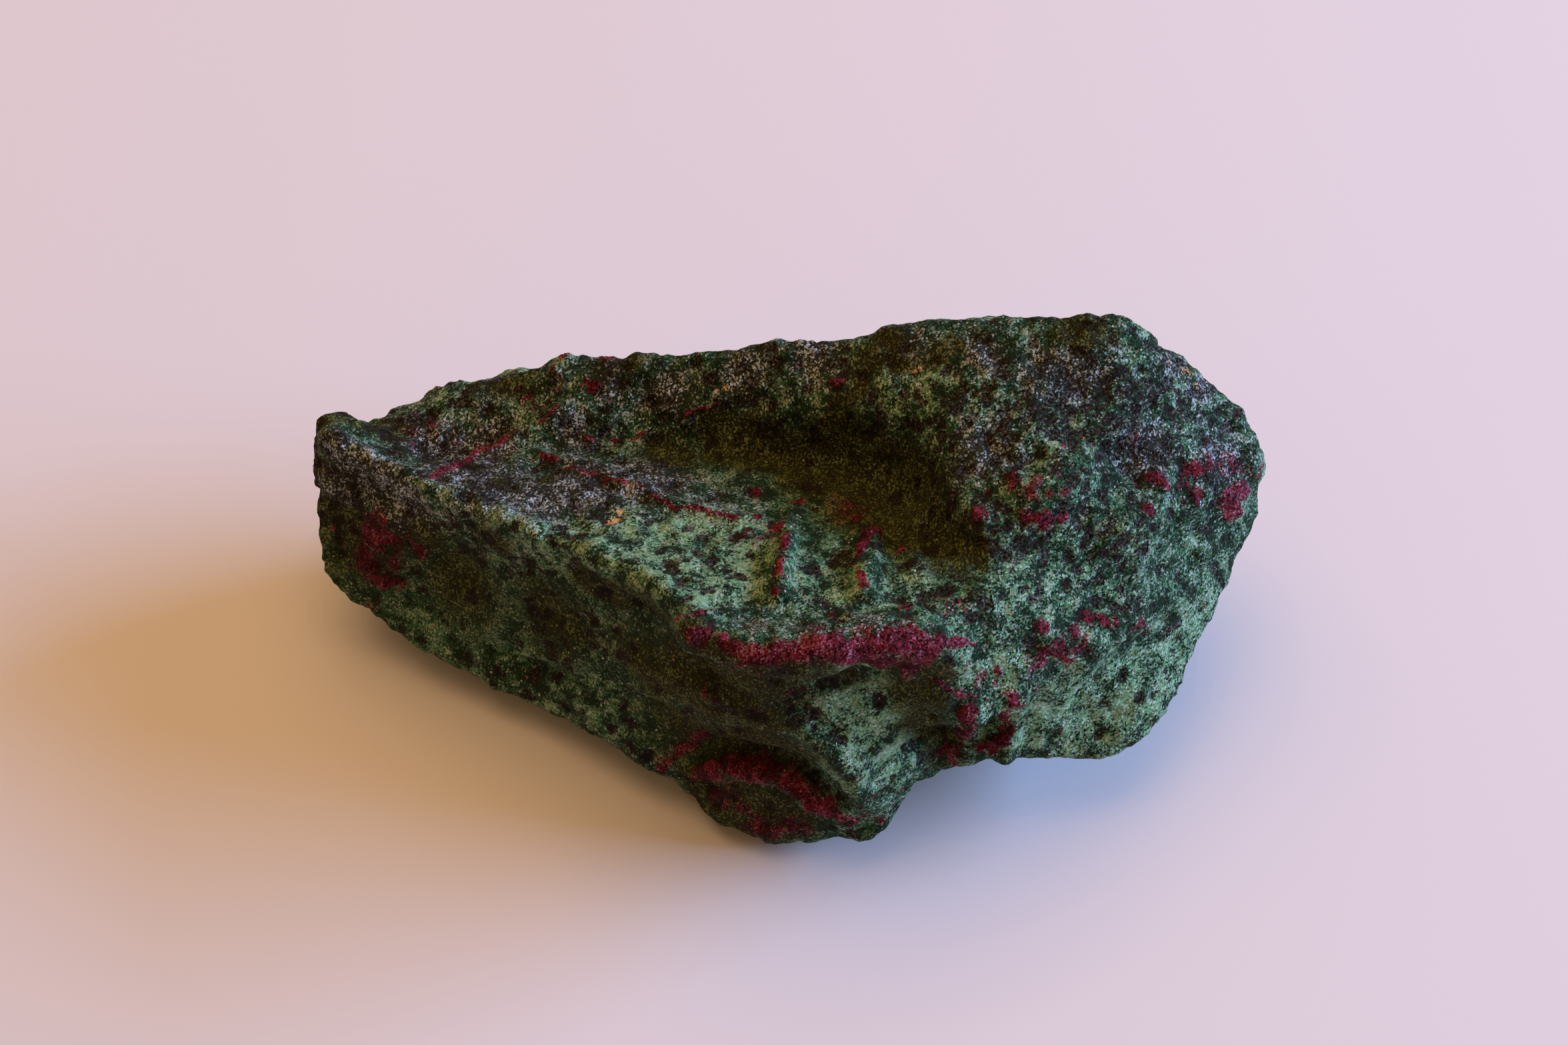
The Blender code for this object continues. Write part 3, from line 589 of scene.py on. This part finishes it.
@dataclass(frozen=True)
class RubyInZoisite:
    """Ruby in zoisite, broken by hammer and weathered: a granular, sugary rock.

    The broken face is rough and nearly without gloss. Its fine crystals lean every way and
    catch the light one by one. Hornblende shows as near-black grains of 1 to 1.5 mm, and ruby
    as crumbly dark red grains, salted pink, that hold together in seams.
    """

    zoisite_deep: str = "#132612"
    zoisite: str = "#315F3A"
    zoisite_pale: str = "#6C9668"
    sugar: str = "#C8D2C0"
    hornblende: str = "#0B0805"
    hornblende_grey: str = "#251D11"
    # the stain's browns and its dim olive salt, also laid as painted shade on faces in shadow
    stain_and_shade: str = "#221E08"
    stain_and_shade_pale: str = "#4B4D15"
    stain_and_shade_sugar: str = "#6C7A2C"
    dust: str = "#29251D"
    # the dust's salt is bluish white: partly its own white, partly painted blue glints of the
    # window light
    dust_sugar_and_blue_glint: str = "#DCE8FA"
    ruby_deep: str = "#240306"
    ruby: str = "#72101F"
    ruby_pink: str = "#B87A8C"
    mica: str = "#C79C66"

    grain_mm: float = 0.18  # drawn finer than the real grains, about 0.3 to 0.5 mm
    bend_mm: float = 0.5  # how far apart the bends of the grains' borders are
    bend_reach_mm: float = 0.12
    crystal_mm: float = 0.32
    mottle_mm: float = 2.1
    dust_mm: float = 0.55

    # A span says where a colour starts to show and where it covers most.
    green_grain: float = 0.22  # how far one grain's green is from the next
    green_span: Span = (0.52, 0.74)
    pale_in_sugary: float = 0.26
    pale_span: Span = (0.68, 0.94)
    dust_mottling: float = 0.9
    dust_span: Span = (0.72, 1.06)
    dust_cover: float = 0.9
    stain_and_shade_mottling: float = 0.8
    stain_and_shade_span: Span = (0.60, 0.98)
    stain_and_shade_cover: float = 0.9
    olive_span: Span = (0.55, 0.95)
    dark_fray: Span = (0.9, 0.30)
    dark_span: Span = (0.84, 1.10)
    dark_cover: float = 0.96
    ruby_fray: Span = (0.5, 0.25)
    ruby_span: Span = (0.80, 0.98)
    bright_grain: float = 0.5
    bright_in_stain_and_shade: float = -0.18
    bright_span: Span = (0.52, 0.98)
    mica_fray: float = 0.4
    mica_span: Span = (0.68, 0.78)

    # Rarity is what a grain has to pass to look white; a share below zero lowers it.
    rarity: float = 2.00
    rarity_in_stain_and_shade: float = 0.08
    rarity_in_sugary: float = -0.10
    rarity_in_dust: float = -0.06
    rarity_in_mottle: float = -1.7
    clustering: float = 1.1
    # the white salt is partly the grains' own white and partly painted sparkle
    salt_span: Span = (0.0, 0.58)
    salt_cover: float = 0.45
    # more white salt in the dust, partly painted glints of the window light
    dust_whitening_and_glint: float = 0.55
    lost_on_dark: float = -0.72
    lost_on_ruby: float = -0.2
    # painted glints: white laid in the colour at the middle of rare larger crystals, as highlights
    painted_glint_rim: Span = (0.50, 0.30)
    painted_glint_chance: Span = (0.965, 0.985)
    painted_glint_cover: float = 0.7

    bump_grain: float = 0.6
    bump_strength: float = 0.6
    bump_mm: float = 0.12
    grain_lean: float = 0.9
    gloss_span: Span = (0.25, 0.50)
    roughness_span: Span = (0.80, 0.28)  # dull rock, and a clean crystal face
    refraction: float = 1.66
    specular_level: float = 0.1  # low, because dust takes most of the gloss; much of the sparkle is painted as white in the colour instead

    def material(self) -> bpy.types.Material:
        """Makes the material, which reads the skin's mineral attributes.

        Returns:
            The finished material.
        """
        stone = bpy.data.materials.new("ruby_in_zoisite_rough")
        stone.use_nodes = True
        tree = stone.node_tree
        tree.nodes.clear()
        rock = self.patterns(tree)
        body, stained_and_shaded = self.weathered_and_shaded(rock, self.green(rock))
        body, dark = self.with_hornblende(rock, body)
        body, rubied = self.with_ruby(rock, body)
        beyond = self.brightness(rock)
        lit = self.salt_and_painted_glints(rock, beyond, dark, rubied)
        white = linear(self.sugar)
        for where, colour in (
            (rock.found[Mineral.DUST], self.dust_sugar_and_blue_glint),
            (stained_and_shaded, self.stain_and_shade_sugar),
            (rubied, self.ruby_pink),
        ):
            white = add_node(tree, "Mix", {0: where, 6: white, 7: linear(colour)}, **MIXED)
        body = add_node(tree, "Mix", {0: lit, 6: body, 7: white}, **MIXED)
        (start, full), (dull, clean) = self.gloss_span, self.roughness_span
        gloss = {"Value": beyond, "From Min": start, "From Max": full}
        gloss = add_node(tree, "MapRange", gloss | {"To Min": dull, "To Max": clean})
        shader = add_node(
            tree,
            "BsdfPrincipled",
            {
                "Base Color": self.with_mica(rock, body),
                "Roughness": gloss,
                "IOR": self.refraction,
                "Specular IOR Level": self.specular_level,
                "Normal": self.grain_faces(rock),
            },
        )
        add_node(tree, "OutputMaterial", {"Surface": shader})
        return stone

    def patterns(self, tree: bpy.types.NodeTree) -> RockPatterns:
        """Lays out the attributes and noises that every mineral is mixed from.

        Args:
            tree: the material's tree.

        Returns:
            The attributes and noises.
        """
        place = add_node(tree, "TexCoord").outputs["Object"]
        found = {
            mineral: add_node(tree, "Attribute", attribute_name=mineral.value).outputs["Fac"]
            for mineral in Mineral
        }
        # Grain borders bend a little, so that no cell has straight sides.
        bends = {"Vector": place, "Scale": per_metre(self.bend_mm), "Detail": 1.0}
        bend = add_node(tree, "TexNoise", bends).outputs["Color"]
        sockets = {0: bend, 1: (self.bend_reach_mm * MM,) * 3, 2: place}
        bent = add_node(tree, "VectorMath", sockets, **SCALED_SUM)
        grains, crystals = [
            add_node(tree, "TexVoronoi", {"Vector": bent, "Scale": per_metre(size)})
            for size in (self.grain_mm, self.crystal_mm)
        ]
        # Each cell is one grain; its random colour gives three dice.
        dice = add_node(tree, "SeparateColor", {"Color": grains.outputs["Color"]})
        mottle, dust = [
            add_node(
                tree,
                "TexNoise",
                {"Vector": place, "Scale": per_metre(size), "Detail": detail, "Roughness": rough},
            )
            for size, detail, rough in ((self.mottle_mm, 4.0, 0.62), (self.dust_mm, 3.0, 0.65))
        ]
        return RockPatterns(tree, found, grains, crystals, *list(dice.outputs)[:3], mottle, dust)

    def green(self, rock: RockPatterns) -> bpy.types.Node:
        """Mixes deep to sea green in patches of a few millimetres, each grain a little apart.

        Args:
            rock: the patterns to mix from.

        Returns:
            The colour of plain rock, greyed where fine mica and kaolin dust it.
        """
        tree, found = rock.tree, rock.found
        sockets = {0: rock.tone, 1: self.green_grain, 2: rock.mottle}
        shade = add_node(tree, "Math", sockets, **SCALED_SUM)
        deep, sea = linear(self.zoisite_deep), linear(self.zoisite)
        green, _ = rock.covered(shade, self.green_span, deep, sea)
        sockets = {0: found[Mineral.SUGARY], 1: self.pale_in_sugary, 2: shade}
        pale = add_node(tree, "Math", sockets, **SCALED_SUM)
        green, _ = rock.covered(pale, self.pale_span, green, linear(self.zoisite_pale))
        sockets = {0: rock.mottle, 1: self.dust_mottling, 2: found[Mineral.DUST]}
        dusted = add_node(tree, "Math", sockets, **SCALED_SUM)
        return rock.covered(dusted, self.dust_span, green, linear(self.dust), self.dust_cover)[0]

    def weathered_and_shaded(
        self, rock: RockPatterns, body: bpy.types.Node
    ) -> tuple[bpy.types.Node, bpy.types.Node]:
        """Lays brown stain along the foliation, and in hollows and on shaded faces partly as
        painted shade; olive grains stay in it.

        Args:
            rock: the patterns to mix from.
            body: the colour under it.

        Returns:
            The new colour, and how much stain and painted shade there is.
        """
        sockets = {0: rock.mottle, 1: self.stain_and_shade_mottling, 2: rock.found[Mineral.STAIN_AND_SHADE]}
        stained_and_shaded = add_node(rock.tree, "Math", sockets, **SCALED_SUM)
        brown, olive = linear(self.stain_and_shade), linear(self.stain_and_shade_pale)
        brown, _ = rock.covered(rock.pick, self.olive_span, brown, olive)
        return rock.covered(stained_and_shaded, self.stain_and_shade_span, body, brown, self.stain_and_shade_cover)

    def with_hornblende(
        self, rock: RockPatterns, body: bpy.types.Node
    ) -> tuple[bpy.types.Node, bpy.types.Node]:
        """Lays the near-black grains, with ragged edges, where the attribute draws them.

        Args:
            rock: the patterns to mix from.
            body: the colour under them.

        Returns:
            The new colour, and where the dark grains are.
        """
        blacks = {0: rock.tone, 6: linear(self.hornblende), 7: linear(self.hornblende_grey)}
        black = add_node(rock.tree, "Mix", blacks, **MIXED)
        ragged = rock.frayed(Mineral.HORNBLENDE, self.dark_fray)
        return rock.covered(ragged, self.dark_span, body, black, self.dark_cover)

    def with_ruby(
        self, rock: RockPatterns, body: bpy.types.Node
    ) -> tuple[bpy.types.Node, bpy.types.Node]:
        """Lays the ruby in deep and bright red grains, deeper in the stain and its painted shade.

        Args:
            rock: the patterns to mix from.
            body: the colour under it.

        Returns:
            The new colour, and where the ruby is.
        """
        bright = {0: rock.tone, 1: self.bright_grain, 2: rock.mottle}
        bright = add_node(rock.tree, "Math", bright, **SCALED_SUM)
        bright = {0: rock.found[Mineral.STAIN_AND_SHADE], 1: self.bright_in_stain_and_shade, 2: bright}
        bright = add_node(rock.tree, "Math", bright, **SCALED_SUM)
        deep, red = linear(self.ruby_deep), linear(self.ruby)
        red, _ = rock.covered(bright, self.bright_span, deep, red)
        ragged = rock.frayed(Mineral.RUBY, self.ruby_fray)
        return rock.covered(ragged, self.ruby_span, body, red)

    def brightness(self, rock: RockPatterns) -> bpy.types.Node:
        """Picks the bright crystals over every mineral, fewest in the stain and painted shade.

        Args:
            rock: the patterns to mix from.

        Returns:
            How far each grain is beyond the point where it starts to look white.
        """
        rarity = self.rarity
        for source, share in (
            (rock.found[Mineral.STAIN_AND_SHADE], self.rarity_in_stain_and_shade),
            (rock.found[Mineral.SUGARY], self.rarity_in_sugary),
            (rock.found[Mineral.DUST], self.rarity_in_dust),
            (rock.mottle, self.rarity_in_mottle),
        ):
            rarity = add_node(rock.tree, "Math", {0: source, 1: share, 2: rarity}, **SCALED_SUM)
        sockets = {0: rock.dust, 1: self.clustering, 2: rock.pick}
        clusters = add_node(rock.tree, "Math", sockets, **SCALED_SUM)
        return add_node(rock.tree, "Math", {0: clusters, 1: rarity}, operation="SUBTRACT")

    def salt_and_painted_glints(
        self,
        rock: RockPatterns,
        beyond: bpy.types.Node,
        dark: bpy.types.Node,
        rubied: bpy.types.Node,
    ) -> bpy.types.Node:
        """Works out how much white the bright crystals, partly painted sparkle, and a few painted
        glints lay on the rock.

        Args:
            rock: the patterns to mix from.
            beyond: how far each grain is beyond the point where it starts to look white.
            dark: where the dark grains are, which stay nearly free of white.
            rubied: where the ruby is, which is a little freer of it.

        Returns:
            The cover of white.
        """
        tree = rock.tree
        sockets = {"Value": beyond, "From Min": self.salt_span[0], "From Max": self.salt_span[1]}
        lit = add_node(tree, "MapRange", sockets | {"To Max": self.salt_cover}, **EASED)
        sockets = {0: rock.found[Mineral.DUST], 1: self.dust_whitening_and_glint, 2: 1.0}
        whiter = add_node(tree, "Math", sockets, **SCALED_SUM)
        lit = add_node(tree, "Math", {0: lit, 1: whiter}, operation="MULTIPLY")
        # A painted glint, white in the colour, shows on the middle of a rare larger crystal.
        crystals, (rim, middle) = rock.crystals.outputs, self.painted_glint_rim
        sockets = {"Value": crystals["Distance"], "From Min": rim, "From Max": middle}
        inner = add_node(tree, "MapRange", sockets)
        chance = add_node(tree, "SeparateColor", {"Color": crystals["Color"]}).outputs[0]
        rare, sure = self.painted_glint_chance
        sockets = {"Value": chance, "From Min": rare, "From Max": sure}
        rare = add_node(tree, "MapRange", sockets | {"To Max": self.painted_glint_cover})
        painted_glint = add_node(tree, "Math", {0: inner, 1: rare}, operation="MULTIPLY")
        lit = add_node(tree, "Math", {0: lit, 1: painted_glint}, operation="MAXIMUM")
        for where, lost in ((dark, self.lost_on_dark), (rubied, self.lost_on_ruby)):
            clear = add_node(tree, "Math", {0: where, 1: lost, 2: 1.0}, **SCALED_SUM)
            lit = add_node(tree, "Math", {0: lit, 1: clear}, operation="MULTIPLY")
        return lit

    def with_mica(self, rock: RockPatterns, body: bpy.types.Node) -> bpy.types.Node:
        """Lays a few tan flakes of weathered mica over the rest.

        Args:
            rock: the patterns to mix from.
            body: the colour under them.

        Returns:
            The new colour.
        """
        sockets = {0: rock.edge, 1: self.mica_fray, 2: rock.found[Mineral.MICA]}
        ragged = add_node(rock.tree, "Math", sockets, **SCALED_SUM)
        sockets = {"Value": ragged, "From Min": self.mica_span[0], "From Max": self.mica_span[1]}
        flake = add_node(rock.tree, "MapRange", sockets)
        return add_node(rock.tree, "Mix", {0: flake, 6: body, 7: linear(self.mica)}, **MIXED)

    def grain_faces(self, rock: RockPatterns) -> bpy.types.Node:
        """Leans each grain's face its own way, and roughens it with fine dust.

        Args:
            rock: the patterns to mix from.

        Returns:
            The direction that each spot faces.
        """
        tree = rock.tree
        sockets = {0: rock.tone, 1: self.bump_grain, 2: rock.dust}
        height = add_node(tree, "Math", sockets, **SCALED_SUM)
        sockets = {"Height": height, "Strength": self.bump_strength, "Distance": self.bump_mm * MM}
        bump = add_node(tree, "Bump", sockets)
        lean, middle = (self.grain_lean,) * 3, (-0.5 * self.grain_lean,) * 3
        sockets = {0: rock.grains.outputs["Color"], 1: lean, 2: middle}
        lean = add_node(tree, "VectorMath", sockets, **SCALED_SUM)
        facing = add_node(tree, "VectorMath", {0: bump, 1: lean}, operation="ADD")
        return add_node(tree, "VectorMath", {0: facing}, operation="NORMALIZE")


@dataclass
class StoneSkin:
    """The stone's whole outside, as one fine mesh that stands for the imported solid.

    Sizes and heights are in millimetres.
    """

    grid: float = 0.43
    weld: float = 0.002  # points of the solid this near are one
    smoothing_passes: int = 5
    smoothing_shares: Span = (0.55, -0.57)  # one step in, one step back out

    bends: Pattern = Pattern(1.3, 3.1)
    bend_reach: float = 0.45
    crumb_bend_reach: float = 0.3
    sweeps: Pattern = Pattern(4.5, 8.4)
    sweep_reach: float = 0.7

    dark_grains: Pattern = Pattern(1.45, 5.0)
    dark_everywhere: float = 0.17  # the share of plain rock's grains that are dark
    dark_lost_in_sugary: float = 0.7
    dark_drifts: Pattern = Pattern(7.0, 71.0)
    dark_drift: float = 1.1
    dark_drift_span: Span = (0.15, 2.4)
    dark_least: float = 0.01
    dark_fullest: float = 1.7
    dark_thinning: float = 1.2
    dark_rim: float = 0.55  # how deep in a grain its darkness is full
    ruby_grains: Pattern = Pattern(0.95, 17.0)
    ruby_crumbling: float = 0.3
    ruby_least: float = 0.05  # no grain joins the ruby where there is less

    lumps: Pattern = Pattern(2.6, 11.0, 2)
    lump_height: float = 0.26
    crumbs: Pattern = Pattern(1.25, 23.0, 2)
    crumb_height: float = 0.18
    pits: Pattern = Pattern(2.0, 51.0, 2)
    pit_start: float = 0.25
    pit_slope: float = 0.5  # how much further the noise goes until a pit is at its deepest
    pit_depth: float = 0.24
    dark_depth: float = 0.22
    ruby_height: float = 0.5
    ruby_start: float = 0.35
    ruby_slope: float = 0.3
    ruby_even: float = 0.3  # the share of the ruby's height that is even
    ruby_crumbs: float = 0.9  # and the share that its grains make
    fold_fray: float = 0.5
    flat_foot: float = 1.5  # the relief fades out over this height above the floor
    finish: RubyInZoisite = RubyInZoisite()

    def build(self, solid: bpy.types.Object) -> bpy.types.Object:
        """Makes the skin and dresses it.

        Args:
            solid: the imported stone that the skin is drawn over.

        Returns:
            The finished piece.
        """
        skin = self.fine_copy(solid)
        points, _, edges = self.read(skin)
        self.write(skin, self.smoothed(points, edges))
        points, normals, _ = self.read(skin)
        minerals = self.lay_minerals(points)
        points = points + normals * self.relief(points, minerals)[:, None]
        points[:, 2] = np.maximum(points[:, 2], 0.0)
        self.write(skin, points)
        for mineral, share in minerals.items():
            layer = skin.data.attributes.new(mineral.value, "FLOAT", "POINT")
            layer.data.foreach_set("value", share.astype(np.float32))
        skin.data.polygons.foreach_set("use_smooth", np.ones(len(skin.data.polygons), bool))
        skin.data.materials.clear()
        skin.data.materials.append(self.finish.material())
        return skin

    def fine_copy(self, solid: bpy.types.Object) -> bpy.types.Object:
        """Copies the solid as an even mesh of small squares.

        Args:
            solid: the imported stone.

        Returns:
            A new object, linked to the scene.
        """
        shape = bmesh.new()
        shape.from_mesh(solid.data)
        bmesh.ops.remove_doubles(shape, verts=shape.verts, dist=self.weld * MM)
        mesh = bpy.data.meshes.new("stone_surface")
        shape.to_mesh(mesh)
        shape.free()
        rough = bpy.data.objects.new("stone_surface", mesh)
        bpy.context.scene.collection.objects.link(rough)
        remesh = rough.modifiers.new("grid", "REMESH")
        remesh.mode = "VOXEL"
        remesh.voxel_size = self.grid * MM
        graph = bpy.context.evaluated_depsgraph_get()
        fine = bpy.data.meshes.new_from_object(rough.evaluated_get(graph))
        rough.modifiers.clear()
        rough.data = fine
        bpy.data.meshes.remove(mesh)
        return rough

    @staticmethod
    def read(skin: bpy.types.Object) -> tuple[np.ndarray, np.ndarray, np.ndarray]:
        """Reads a mesh's points in millimetres, its normals and its edges.

        Args:
            skin: the object to read.

        Returns:
            Points, point normals, and pairs of point numbers.
        """
        mesh = skin.data
        points = np.empty(len(mesh.vertices) * 3, np.float32)
        normals = np.empty(len(mesh.vertices) * 3, np.float32)
        edges = np.empty(len(mesh.edges) * 2, np.int32)
        mesh.vertices.foreach_get("co", points)
        mesh.vertex_normals.foreach_get("vector", normals)
        mesh.edges.foreach_get("vertices", edges)
        return points.reshape(-1, 3) / MM, normals.reshape(-1, 3), edges.reshape(-1, 2)

    @staticmethod
    def write(skin: bpy.types.Object, points: np.ndarray) -> None:
        """Sets a mesh's points.

        Args:
            skin: the object to change.
            points: its new points, in millimetres.
        """
        skin.data.vertices.foreach_set("co", (points * MM).astype(np.float32).ravel())
        skin.data.update()

    def smoothed(self, points: np.ndarray, edges: np.ndarray) -> np.ndarray:
        """Evens out the facets of the solid without shrinking the stone.

        Args:
            points: the mesh's points.
            edges: pairs of point numbers.

        Returns:
            The smoothed points.
        """
        ends = np.concatenate([edges, edges[:, ::-1]])
        count = np.bincount(ends[:, 0], minlength=len(points))[:, None]
        for share in self.smoothing_shares * self.smoothing_passes:
            sums = [np.bincount(ends[:, 0], points[ends[:, 1], i], len(points)) for i in range(3)]
            points = points + share * (np.stack(sums, 1) / count - points)
        return points

    def lay_minerals(self, points: np.ndarray) -> dict[Mineral, np.ndarray]:
        """Works out which mineral there is at each point.

        Args:
            points: the skin's points.

        Returns:
            For each mineral one share for each point. A grain's or seam's edge is at 0.5.
        """
        ragged = self.bends.bent(points, self.bend_reach)
        ragged = self.sweeps.bent(ragged, self.sweep_reach)
        shares = {mineral: np.zeros(len(points)) for mineral in Mineral}
        laid = [
            (mineral, seam.path, seam.half_width, seam.strength)
            for mineral, seams in SEAMS.items()
            for seam in seams
        ]
        laid += [
            (mineral, (place,), patch.radius, patch.strength)
            for mineral, patches in PATCHES.items()
            for patch in patches
            for place in patch.places
        ]
        for mineral, path, reach, strength in laid:
            share = strength * np.clip(1 - 0.5 * distance_to_path(ragged, path) / reach, 0, 1)
            shares[mineral] = np.maximum(shares[mineral], share)
        # Dark grains: the share laid down is the part of all grains that are dark.
        depth, dice = self.dark_grains.crystals(ragged)
        drift = 1 + self.dark_drift * self.dark_drifts.lumps(points)
        kept = 1 - self.dark_lost_in_sugary * shares[Mineral.SUGARY]
        wanted = self.dark_everywhere * np.clip(drift, *self.dark_drift_span) * kept
        wanted = wanted + (1 - wanted) * shares[Mineral.HORNBLENDE]
        # A grain that only just counts as dark is small, and the surest are full.
        thinning = self.dark_thinning * dice / np.maximum(wanted, self.dark_least)
        fullness = np.clip(self.dark_fullest - thinning, 0, self.dark_fullest)
        grown = np.clip(depth / self.dark_rim * fullness, 0, 1)
        shares[Mineral.HORNBLENDE] = grown * (dice < wanted)
        # Ruby: whole grains join or leave the seam at its edge.
        _, dice = self.ruby_grains.crystals(ragged)
        ruby = shares[Mineral.RUBY]
        crumbs = (dice - 0.5) * self.ruby_crumbling * (ruby > self.ruby_least)
        shares[Mineral.RUBY] = np.clip(ruby + crumbs, 0, 1)
        return shares

    def relief(self, points: np.ndarray, minerals: dict[Mineral, np.ndarray]) -> np.ndarray:
        """Works out how far each point stands proud of the smooth stone.

        Args:
            points: the skin's points.
            minerals: each mineral's share at each point.

        Returns:
            One height for each point, in millimetres.
        """
        ruby = np.clip((minerals[Mineral.RUBY] - self.ruby_start) / self.ruby_slope, 0, 1)
        crumbs = self.crumbs.lumps(points)
        pits = np.clip((self.pits.lumps(points) - self.pit_start) / self.pit_slope, 0, 1)
        depth, dice = self.ruby_grains.crystals(self.bends.bent(points, self.crumb_bend_reach))
        height = self.lump_height * self.lumps.lumps(points) + self.crumb_height * crumbs
        height -= self.pit_depth * pits + self.dark_depth * minerals[Mineral.HORNBLENDE]
        grains = self.ruby_even + self.ruby_crumbs * np.sqrt(depth) * dice
        height += self.ruby_height * ruby * grains
        frayed = points + self.fold_fray * crumbs[:, None]
        for fold in FOLDS:
            for path in [(place,) for place in fold.path] if fold.apart else [fold.path]:
                away = distance_to_path(frayed, path)
                height += fold.height * np.exp(-((away / fold.radius) ** 2))
        return height * np.clip(points[:, 2] / self.flat_foot, 0, 1)


@dataclass(frozen=True)
class SoftLight:
    """One soft rectangular light that looks at the stone."""

    name: str
    azimuth: float  # degrees from +X towards +Y
    height: float  # degrees above the floor
    away_by: float  # metres from the stone
    size: Span  # metres
    power: float  # watts
    colour: str

    def hang(self) -> None:
        """Puts the light in the scene, out of the camera's sight."""
        turn, rise = math.radians(self.azimuth), math.radians(self.height)
        lamp = bpy.data.lights.new(self.name, "AREA")
        lamp.shape = "RECTANGLE"
        lamp.size, lamp.size_y = self.size
        lamp.energy = self.power
        lamp.color = linear(self.colour)[:3]
        light = bpy.data.objects.new(self.name, lamp)
        bpy.context.scene.collection.objects.link(light)
        level = math.cos(rise)
        away = Vector((level * math.cos(turn), level * math.sin(turn), math.sin(rise)))
        light.location = self.away_by * away
        light.visible_camera = False
        light.rotation_mode = "QUATERNION"
        light.rotation_quaternion = away.to_track_quat("Z", "Y")


@dataclass
class Studio:
    """The pale floor, the soft light and the camera."""

    floor_colour: str = "#E8E4E6"
    floor_half_width: float = 2.0  # metres
    paper_roughness: float = 0.9
    room_colour: str = "#FFC98F"
    room_strength: float = 0.30
    wall_colour: str = "#E6DFD8"
    wall_strength: float = 0.7
    lights: tuple[SoftLight, ...] = (
        SoftLight("window", 8, 22, 1.6, (1.2, 0.6), 48.0, "#9CC3FF"),
        SoftLight("lamp", 115, 74, 1.3, (1.2, 1.2), 8.8, "#FFCC96"),
    )
    elevation: float = 52.0  # degrees above the floor
    distance: float = 0.366  # metres from the target
    target: Place = (-0.14, 5.85, 18.0)  # millimetres
    sensor_width: float = 36.0  # millimetres
    focal_pixels: float = 5272.0
    nearest_sight: float = 0.01  # metres

    def lay_floor(self) -> None:
        """Makes the floor, a wide sheet of uncoated white paper."""
        mesh = bpy.data.meshes.new("floor")
        shape = bmesh.new()
        bmesh.ops.create_grid(shape, x_segments=2, y_segments=2, size=self.floor_half_width)
        shape.to_mesh(mesh)
        shape.free()
        floor = bpy.data.objects.new("floor", mesh)
        bpy.context.scene.collection.objects.link(floor)
        # Uncoated paper scatters light evenly and has no gloss.
        paper = bpy.data.materials.new("uncoated_paper")
        paper.use_nodes = True
        shader = paper.node_tree.nodes["Principled BSDF"]
        shader.inputs["Base Color"].default_value = linear(self.floor_colour)
        shader.inputs["Roughness"].default_value = self.paper_roughness
        mesh.materials.append(paper)

    def light(self) -> None:
        """Hangs the cool window light and the warm lamp, and sets the warm light of the room."""
        for light in self.lights:
            light.hang()
        room = bpy.data.worlds.new("room")
        room.use_nodes = True
        tree = room.node_tree
        # The walls look pale, but light the stone only faintly.
        seen = add_node(tree, "LightPath").outputs["Is Camera Ray"]
        walls = {0: seen, 6: linear(self.room_colour), 7: linear(self.wall_colour)}
        colour = add_node(tree, "Mix", walls, **MIXED)
        strengths = {"Value": seen, "To Min": self.room_strength, "To Max": self.wall_strength}
        glow = add_node(tree, "MapRange", strengths)
        sky = tree.nodes["Background"]
        tree.links.new(colour.outputs[2], sky.inputs["Color"])
        tree.links.new(glow.outputs[0], sky.inputs["Strength"])
        bpy.context.scene.world = room
        bpy.context.scene.view_settings.view_transform = "Standard"

    def set_camera(self) -> None:
        """Sets the camera in front of the stone, looking down at it."""
        angle = math.radians(self.elevation)
        ahead = Vector((0, math.cos(angle), -math.sin(angle)))
        lens = bpy.data.cameras.new("camera")
        lens.sensor_width = self.sensor_width
        lens.lens = self.sensor_width * self.focal_pixels / FRAME_WIDTH
        lens.clip_start = self.nearest_sight
        camera = bpy.data.objects.new("camera", lens)
        bpy.context.scene.collection.objects.link(camera)
        camera.location = MM * Vector(self.target) - self.distance * ahead
        camera.rotation_mode = "QUATERNION"
        camera.rotation_quaternion = ahead.to_track_quat("-Z", "Y")
        bpy.context.scene.camera = camera


def main() -> None:
    """Loads the frame, builds the stone's skin and sets the stage around it."""
    logging.basicConfig(level=logging.INFO, format="%(name)s: %(message)s")
    noise.seed_set(NOISE_SEED)
    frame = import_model()
    skin = StoneSkin().build(frame["nodes"]["stone"])
    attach(skin, "root")
    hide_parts("stone")
    log.info("%s: %d faces", skin.name, len(skin.data.polygons))
    studio = Studio()
    studio.lay_floor()
    studio.light()
    studio.set_camera()


if __name__ == "__main__":
    main()
